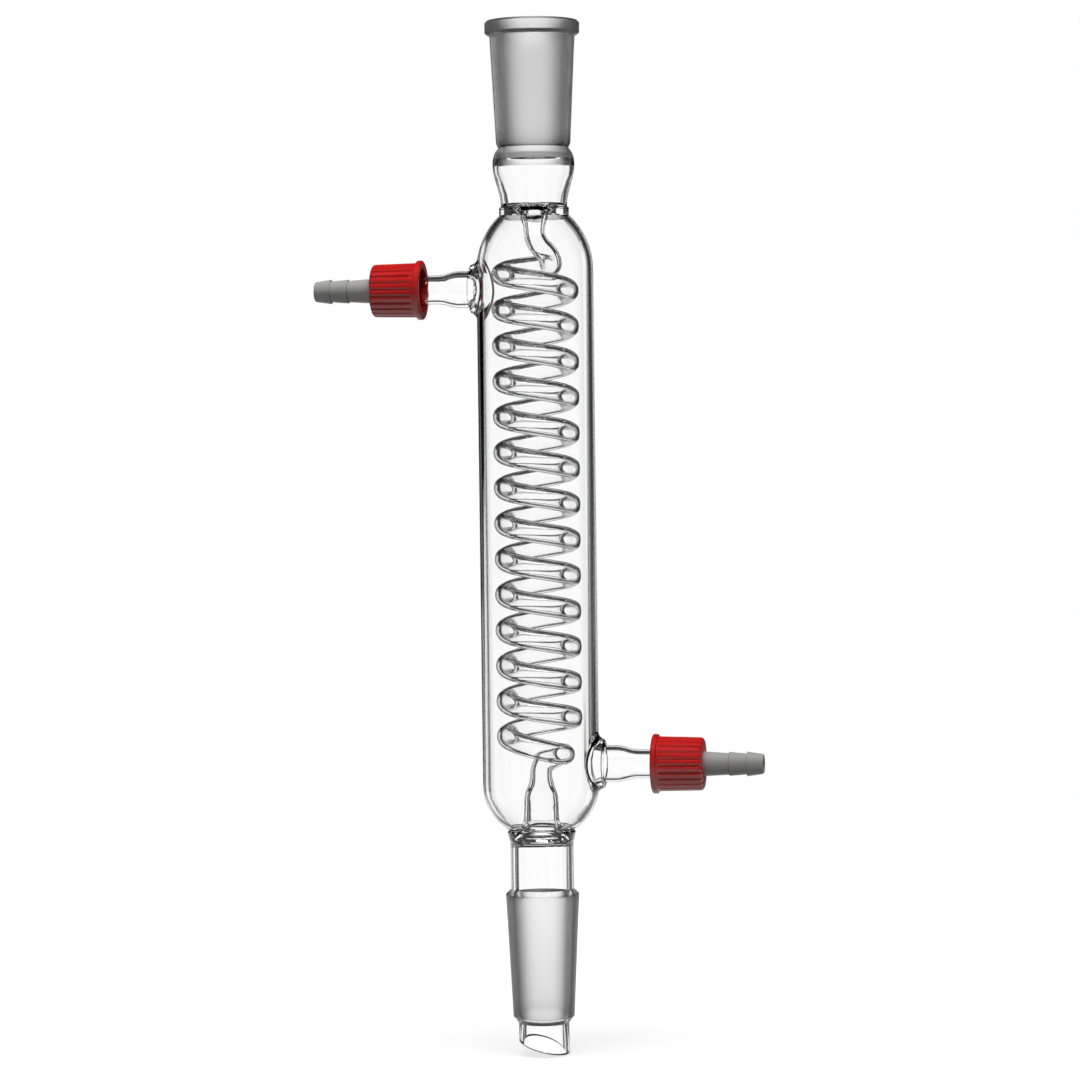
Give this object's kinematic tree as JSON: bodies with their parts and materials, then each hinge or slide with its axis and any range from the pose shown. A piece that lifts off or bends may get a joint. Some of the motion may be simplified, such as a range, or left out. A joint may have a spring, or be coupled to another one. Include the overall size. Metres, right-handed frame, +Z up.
{
  "type": "coil condenser",
  "caption": "Glass coil condenser: a spiral vapour tube in a water jacket, ground socket above, ground cone with drip tip below, side arms with red screw caps and hose connectors.",
  "frame": {"origin": "centre of the lower cone's wide end, on the condenser's axis", "axes": "+Z up along the axis towards the socket, +X along the lower side arm, -X along the upper side arm"},
  "size_m": [0.1464, 0.038, 0.3365],
  "materials": {
    "clear_glass": "clear, ground joints",
    "red_cap": "satin red",
    "grey_connector": "matte grey",
    "soft_seal": "matte"
  },
  "bodies": {
    "glass": {"glass_body": "clear_glass"},
    "upper_connector": {"upper_hose_connector": "grey_connector", "upper_sealing_ring": "soft_seal"},
    "upper_cap": {"upper_screw_cap": "red_cap"},
    "lower_connector": {"lower_hose_connector": "grey_connector", "lower_sealing_ring": "soft_seal"},
    "lower_cap": {"lower_screw_cap": "red_cap"}
  },
  "joints": [
    {"name": "upper_connector_slide", "type": "slide", "parent": "glass", "child": "upper_connector", "axis": [-1, 0, 0], "range_m": [0, 0.00625]},
    {"name": "upper_cap_turn", "type": "hinge", "parent": "upper_connector", "child": "upper_cap", "pos_m": [-0.0537, 0, 0.1976], "axis": [-1, 0, 0], "range_deg": [0, 900]},
    {"name": "lower_connector_slide", "type": "slide", "parent": "glass", "child": "lower_connector", "axis": [1, 0, 0], "range_m": [0, 0.00625]},
    {"name": "lower_cap_turn", "type": "hinge", "parent": "lower_connector", "child": "lower_cap", "pos_m": [0.0537, 0, 0.0426], "axis": [1, 0, 0], "range_deg": [0, 900]}
  ],
  "couplings": [
    {"joint": "upper_connector_slide", "follows": "upper_cap_turn", "m_per_rad": 0.00039789},
    {"joint": "lower_connector_slide", "follows": "lower_cap_turn", "m_per_rad": 0.00039789}
  ]
}
